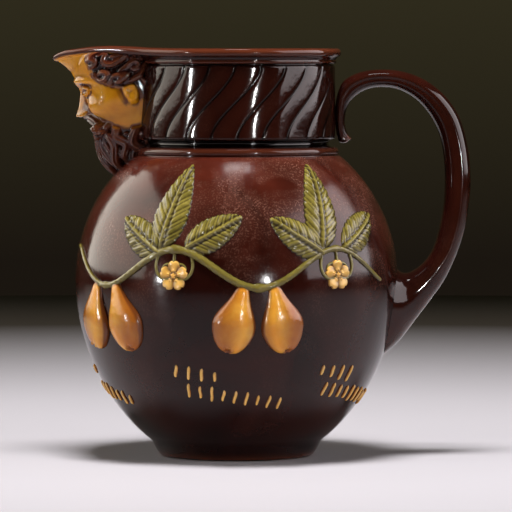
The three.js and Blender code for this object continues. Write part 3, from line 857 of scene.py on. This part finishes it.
def pear(bearing, height, heading):
    """A rounded oval, eased in to a neck, under a dome that rises with its width. At its foot an eye
    is sunk inside a ring of five sepals."""
    def half_width(c):
        waist = 1 - 0.52 * ease((c + 0.35) / 1.1)
        return pear_width / 2 * (1 - c**2) ** 0.425 * waist

    def top(x, y, v, c):
        fullness = half_width(c) / (pear_width / 2)
        dome = np.maximum(1 - np.abs(v) ** 2.2, 0) ** 0.5
        eye = bump(x, y + pear_length * 0.465, 2.0, 1.5)
        sepals = 0.5 + 0.5 * np.cos(5 * np.arctan2(x, y + pear_length * 0.455))
        crown = bump(np.hypot(x, y + pear_length * 0.455) - 1.9, 0, 0.7, 1.0)
        lift = -0.5 + (pear_relief + 0.7) * fullness**0.72 * dome - 1.5 * eye + 0.9 * crown * sepals
        # Painted shade: the dome darkens from partway up its sides to its edge and at its narrow end; the
        # sunk eye is pooled glaze.
        rim = 0.35 * ease((np.abs(v) - 0.40) / 0.5) + ease((np.abs(v) - 0.80) / 0.2)
        pool_and_shade = np.clip(rim + eye + ease((c - 0.82) / 0.18), 0, 1)
        blush = ease(0.45 - 0.85 * v * np.sign(heading) - 0.35 * c)
        return lift, {"pool_and_shade": pool_and_shade, "blush": blush * (1 + 0 * x), "ridge": 0.0}

    return motif((bearing, height, heading), pear_length, half_width, top, 84, 64)


def leaf(bearing, height, heading, size=1.0):
    """A pointed oval with a sawtooth edge. A midrib runs up it, and veins repeat along it by a phase
    that falls with the distance from the midrib, with the blade puffed up between them."""
    length, width = leaf_length * size, leaf_width * size
    tooth, vein_pitch = 2.9, 5.6 * size**0.5

    def half_width(c):
        teeth = 0.92 + 0.08 * ((c * length / 2 / tooth) % 1.0)
        return width / 2 * (1 - c**2) ** 0.625 * (1 - 0.25 * c) * teeth

    def top(x, y, v, c):
        aside = np.abs(x)
        midrib = np.exp(-((aside / 0.75) ** 2)) * (1 - 0.5 * ease((c + 1) / 2))
        phase = (y - 0.62 * aside**1.15) / vein_pitch
        apart = phase - np.round(phase)
        vein = np.exp(-((apart / 0.10) ** 2)) * ease(aside / 0.9) * (1 - np.abs(v) ** 4)
        hollow = np.exp(-(((np.abs(apart) - 0.19) / 0.09) ** 2)) * ease(aside / 0.9)
        puff = 0.30 * np.cos(2 * np.pi * apart) * ease((aside - 0.8) / 1.5)
        edge = np.maximum(1 - np.abs(v) ** 7, 0) ** 0.5 * np.maximum(1 - c**8, 0) ** 0.5
        blade = 0.9 + (leaf_relief - 1.1) * (1 - v**2) - 0.5 * bump(aside - 1.7, 0, 0.8, 1)
        lift = -0.4 + edge * (blade + 0.75 * midrib + 0.38 * vein - puff)
        dip = bump(aside - 1.5, 0, 0.6, 1)
        pool_and_shade = np.clip(0.7 * dip + 0.55 * hollow + ease((np.abs(v) - 0.86) / 0.14), 0, 1)
        ridge = np.clip(midrib + 0.8 * vein, 0, 1)
        return lift, {"pool_and_shade": pool_and_shade, "blush": 0.0, "ridge": ridge}

    return motif((bearing, height, heading), length, half_width, top, 110, 57)


def blossom(bearing, height, size=7.6):
    """Five notched petals that curl up at their ends, round a domed heart with a ring of stamens."""
    turn = np.linspace(0, 2 * np.pi, 120, endpoint=False)[None]
    share = np.append(np.linspace(0.03, 1, 30), 1.0)[:, None]
    petal = np.abs(np.cos(2.5 * turn)) ** 0.55
    notch = 0.10 * np.exp(-((np.sin(2.5 * turn) / 0.22) ** 2))
    radius = size * share * (0.66 + 0.34 * petal - notch * share**4)
    seam = (1 - petal) * ease(share / 0.35)
    heart = np.exp(-((share / 0.17) ** 2))
    stamen = np.exp(-(((share - 0.34) / 0.07) ** 2)) * np.abs(np.cos(7.5 * turn))
    bowl = 0.9 + 1.3 * share**1.6 - 0.9 * seam
    lift = -0.4 + np.maximum(1 - share**9, 0) ** 0.5 * (bowl + 1.0 * heart + 0.55 * stamen)
    lift[-1] = sunk
    pool_and_shade = np.clip(1.1 * seam + 0.9 * np.exp(-(((share - 0.22) / 0.06) ** 2)) + ease((share - .93) / .07),
                   0, 1)
    rings = laid(radius * np.sin(turn), radius * np.cos(turn), lift, bearing, height, 0)
    return rings, {"pool_and_shade": pool_and_shade, "blush": 0.5 * heart + 0 * turn, "ridge": 0.4 + 0 * turn * share}


def vine(across, up, radius, bearing=0.0, columns=18, bark=0.0):
    """A round stem half sunk in the belly, with its middle line and radius given in millimetres
    from a bearing at the belly's foot line. Its ends are rounded off."""
    run = np.append(0, np.cumsum(np.hypot(np.diff(across), np.diff(up))))
    slope = np.stack([np.gradient(across, run), np.gradient(up, run)], -1)
    slope /= np.hypot(*slope.T)[:, None]
    to_end = np.minimum(run, run[-1] - run)
    radius = radius * np.clip(to_end / radius + 0.02, 0, 1) ** 0.5
    turn = np.linspace(0, 2 * np.pi, columns, endpoint=False)[None]
    fibre = 1 + bark * np.cos(5 * turn + run[:, None] * 0.5) * np.sin(run[:, None] * 1.3)
    reach = radius[:, None] * fibre
    x = across[:, None] - slope[:, 1:] * reach * np.sin(turn)
    y = up[:, None] + slope[:, :1] * reach * np.sin(turn)
    ridge = np.clip(np.cos(turn), 0, 1) + 0 * reach
    rings = on_belly(bearing + np.degrees(x / belly_radius), y, reach * np.cos(turn))
    return rings, {"pool_and_shade": 1 - ridge, "blush": 0.0, "ridge": ridge}


def stem_height(bearing):
    """A cosine wave about the garland's middle, by the bearing from its first crest."""
    return garland_middle + garland_wave * np.cos((bearing - first_crest) / wave_length * 2 * np.pi)


def main_stem():
    """A vine along the wave, slimmer towards its ends and swollen by a bell at each joint."""
    bearing = np.linspace(stem_from, stem_to, 420)
    joints = sum(np.exp(-(((bearing - place) / 1.6) ** 2)) for place in sorted(crests + hollows))
    taper = 1 - 0.45 * ease(np.abs(bearing + 9) / 71)
    radius = stem_radius * (0.82 * taper + 0.22 * joints)
    return vine(np.radians(bearing) * belly_radius, stem_height(bearing), radius, bark=0.08)


def tendril(bearing, height, heading, length, turns, radius=0.85):
    """A thin shoot that leaves at a heading and winds up ever tighter, by the square of its run."""
    run = np.linspace(0, 1, 130)
    course = np.radians(heading) + turns * 2 * np.pi * run**1.7
    step = length / len(run)
    across, up = np.cumsum(np.sin(course)) * step, np.cumsum(np.cos(course)) * step
    return vine(across, height + up, radius * (1.15 - 0.5 * run), bearing, 12)


def stalk(from_bearing, from_height, to_bearing, to_height, radius=1.15):
    """A short pear stalk that leaves the stem downwards and bends over to the fruit."""
    t = np.linspace(0, 1, 30)
    across = np.radians(to_bearing - from_bearing) * belly_radius * t**1.6
    up = from_height + (to_height - from_height) * t
    return vine(across, up, radius * (0.85 + 0.5 * t**3), from_bearing, 12)


stems, fruit, leaves, blossoms = [main_stem()], [], [], []
pear_neck = np.degrees(np.sin(np.radians(pear_lean)) * pear_length * 0.47 / belly_radius)
for hollow in hollows:
    fruit_height = stem_height(hollow) + 1 - pear_length * 0.46
    for side in (-1, 1):
        fruit.append(pear(hollow + pear_spread * side, fruit_height, -pear_lean * side))
        neck = hollow + pear_spread * side - side * pear_neck
        stems.append(stalk(hollow + 1.2 * side, stem_height(hollow), neck,
                           fruit_height + pear_length * 0.43))
for crest in crests:
    level = stem_height(crest)
    leaves += [leaf(crest - 3, level + 20, 12), leaf(crest - 15, level + 6, -58, 0.8),
               leaf(crest + 14, level + 8, 62, 0.8)]
    blossoms.append(blossom(crest, level - 12.5))
    stems.append(tendril(crest - 6, level - 2, 200, 40, -1.55))
    stems.append(tendril(crest + 6, level - 2, 160, 40, 1.55))
    stems.append(stalk(crest, level, crest, level - 8, 1.0))

olive = (0.125, 0.100, 0.018, 1.0)
pale_olive = (0.26, 0.205, 0.040, 1.0)
dark_olive = (0.028, 0.017, 0.005, 1.0)
gold = (0.82, 0.315, 0.024, 1.0)
pale_gold = (0.92, 0.46, 0.062, 1.0)
russet = (0.30, 0.070, 0.009, 1.0)
straw = (0.86, 0.52, 0.14, 1.0)


def relief_glaze(name, plain, light, shade, blushed, raised):
    """A slip glaze that is also tinted by the blush mark, darkened again on the pool-and-shade mark, which
    is pooled glaze and painted shade, and kept light on raised ridges.
    """
    shader, base = slip_glaze(name, plain, light, shade)
    base = shader.blend(shader.mark("blush") * (0.5 + 0.6 * shader.noise(90.0, 4.0)), base, blushed)
    # Painted shade as well as pooled glaze: the pool-and-shade mark darkens again, most of all on the
    # pears' sides.
    base = shader.blend((shader.mark("pool_and_shade") * 1.1).clamped() ** 1.5, base, shade)
    base = shader.blend(shader.mark("ridge") * 0.6, base, raised)
    shader.feed(Base_Color=base, Roughness=0.12 + 0.10 * shader.noise(80.0, 3.0))
    shader.bumps(shader.noise(420.0, 3.0), 0.00018)
    return shader.owner


for name, parts, colours in (
    ("garland_stems", stems, (dark_olive, olive, pooled, olive, pale_olive)),
    ("garland_leaves", leaves, (olive, pale_olive, dark_olive, olive, pale_olive)),
    ("garland_pears", fruit, (gold, pale_gold, burnt_and_shade, russet, gold)),
    ("garland_blossoms", blossoms, (straw, pale_gold, burnt_and_shade, gold, straw)),
):
    piece = skin(name, both_sides(parts))
    piece.data.materials.append(relief_glaze(name.replace("_", " ") + " slip", *colours))
    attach(piece, "root")
    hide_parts("jug")


# Slip strokes: two short rows of plain slanting strokes under each motif of the garland, trailed
# from a nozzle in pale yellow slip. They are marks of no script. Each row falls off to the right.

stroke_rows = [(-21.0, 45.5, 4, 5.2), (-17.0, 36.0, 9, 4.9)]
row_middles = (-77.0, -3.0, 57.0)
row_from, row_to = -87.0, 84.0
row_fall = 0.16
stroke_lean = 0.22
shortest_stroke, tallest_stroke = 4.6, 8.0
stroke_sway = 0.7
stroke_radius = 0.95


def slip_strokes():
    """Leaning vines with a slight S, at random heights, along the rows that aren't past the ends."""
    rng = np.random.default_rng(7)
    strokes = []
    for middle in row_middles:
        for first, height, count, pitch in stroke_rows:
            for index in range(count):
                tall = rng.uniform(shortest_stroke, tallest_stroke)
                sway = rng.uniform(-stroke_sway, stroke_sway)
                place = middle + first + index * pitch
                if not row_from < place < row_to:
                    continue
                t = np.linspace(-0.5, 0.5, 26)
                across = stroke_lean * tall * t + sway * np.sin(2 * np.pi * t) * 0.5
                up = height - row_fall * index * pitch + tall * t
                strokes.append(vine(across, up, stroke_radius * (1 - 0.5 * t**2), place, 12))
    return strokes


strokes = skin("slip_strokes", both_sides(slip_strokes()))
strokes.data.materials.append(relief_glaze("trailed yellow slip", straw, pale_gold, russet, gold, straw))
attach(strokes, "root")
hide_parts("jug")


# Camera: level with the rim, a long lens from about 2.3 m in front of the jug.

camera_distance = 2.3
camera_data = bpy.data.cameras.new("camera")
camera_data.lens = 328.6
camera_data.sensor_width = 36.0
camera = bpy.data.objects.new("camera", camera_data)
bpy.context.scene.collection.objects.link(camera)
aim = np.array([0.0096, 0.0, 0.0978])
pitch = np.radians(2.54)
camera.location = aim + camera_distance * np.array([0.0, -np.cos(pitch), np.sin(pitch)])
camera.rotation_euler = (np.pi / 2 - pitch, 0.0, 0.0)
bpy.context.scene.camera = camera


# Studio: a pale tabletop whose colour is painted darker with the distance from the jug, as a painted
# falloff of the light into the dark, two tall panels at its sides, a broad light overhead with a strip
# that shows on the shoulder, two small lamps, and a dim room.

table_drop = 0.3
table_underside = -5.0
softbox_aim = 0.11
room_below = (0.0105, 0.0078, 0.0052, 1.0)
room_above = (0.028, 0.024, 0.012, 1.0)


def table_top():
    """A disc of flat rings, a hair below the foot."""
    radius = np.array([1.0, 400.0, 800.0, 1100.0, 1500.0])[:, None]
    angle = np.linspace(0, 2 * np.pi, 96, endpoint=False)[None]
    rings = np.stack([radius * np.cos(angle), radius * np.sin(angle), 0 * radius * angle - table_drop], -1)
    below = rings[::-1].copy()
    below[..., 2] = table_underside
    return skin("table_top", [(np.vstack([rings, below]), {})])


table = table_top()
paper = Shader(bpy.data.materials.new("pale paper with painted falloff"), Roughness=0.55, Specular_IOR_Level=0.3)
distance = paper.node("ShaderNodeVectorMath", {"operation": "DISTANCE"}, {0: paper.place, 1: (0, 0.1, 0)},
                      "Value")
# Painted light: the paper's colour fades from pale near the jug to near black further off.
fade = paper.stretch(distance, 0.26, 1.0) ** 1.5
paper.feed(Base_Color=paper.blend(fade, (0.525, 0.495, 0.525, 1.0), (0.04, 0.032, 0.024, 1.0)))
table.data.materials.append(paper.owner)

bpy.context.scene.view_settings.view_transform = "Standard"
room = Shader(bpy.data.worlds.new("room"), "Background", "Generated")
bpy.context.scene.world = room.owner
level = room.node("ShaderNodeSeparateXYZ", sockets={0: room.place}, output="Z")
rise = room.node("ShaderNodeMapRange", sockets={"From Min": -0.045, "From Max": 0.012, "Value": level})
room.feed(Color=room.blend(rise, room_below, room_above))


def softbox(name, bearing, rise, distance, width, height, power, lights=True, mirrored=True,
            tint=(1.0, 1.0, 1.0)):
    """An area light that faces the jug from a bearing to the right of the camera and a rise above
    the level, both in degrees. It may be left out of diffuse light, or of mirror images."""
    turn, up = np.radians([bearing, rise])
    data = bpy.data.lights.new(name, "AREA")
    data.shape = "RECTANGLE"
    data.size = width
    data.size_y = height
    data.energy = power
    data.color = tint
    box = bpy.data.objects.new(name, data)
    bpy.context.scene.collection.objects.link(box)
    towards = np.array([np.sin(turn) * np.cos(up), -np.cos(turn) * np.cos(up), np.sin(up)])
    box.location = np.array([0.0, 0.0, softbox_aim]) + distance * towards
    box.rotation_euler = (np.pi / 2 - up, 0.0, turn)
    box.visible_diffuse = lights
    box.visible_glossy = mirrored


softbox("panel_left", -100.0, 24.0, 1.4, 1.90, 1.15, 35.0, lights=False, tint=(1.0, 0.93, 0.82))
softbox("panel_right", 80.0, 24.0, 1.4, 1.65, 1.15, 36.0, lights=False, tint=(1.0, 0.92, 0.94))
softbox("overhead", 0.0, 78.0, 1.45, 0.45, 0.45, 38.0, mirrored=False)
softbox("fill_left", -60.0, 35.0, 1.6, 0.60, 0.60, 4.0, mirrored=False)
softbox("fill_right", 50.0, 35.0, 1.6, 0.60, 0.60, 4.0, mirrored=False)
softbox("overhead_strip", 5.0, 86.0, 1.5, 0.34, 0.16, 3.6, lights=False)
softbox("lamp_left", -54.0, 1.6, 1.9, 0.07, 0.08, 12.0, lights=False)
softbox("lamp_right", 21.0, 1.6, 1.9, 0.05, 0.07, 9.0, lights=False)
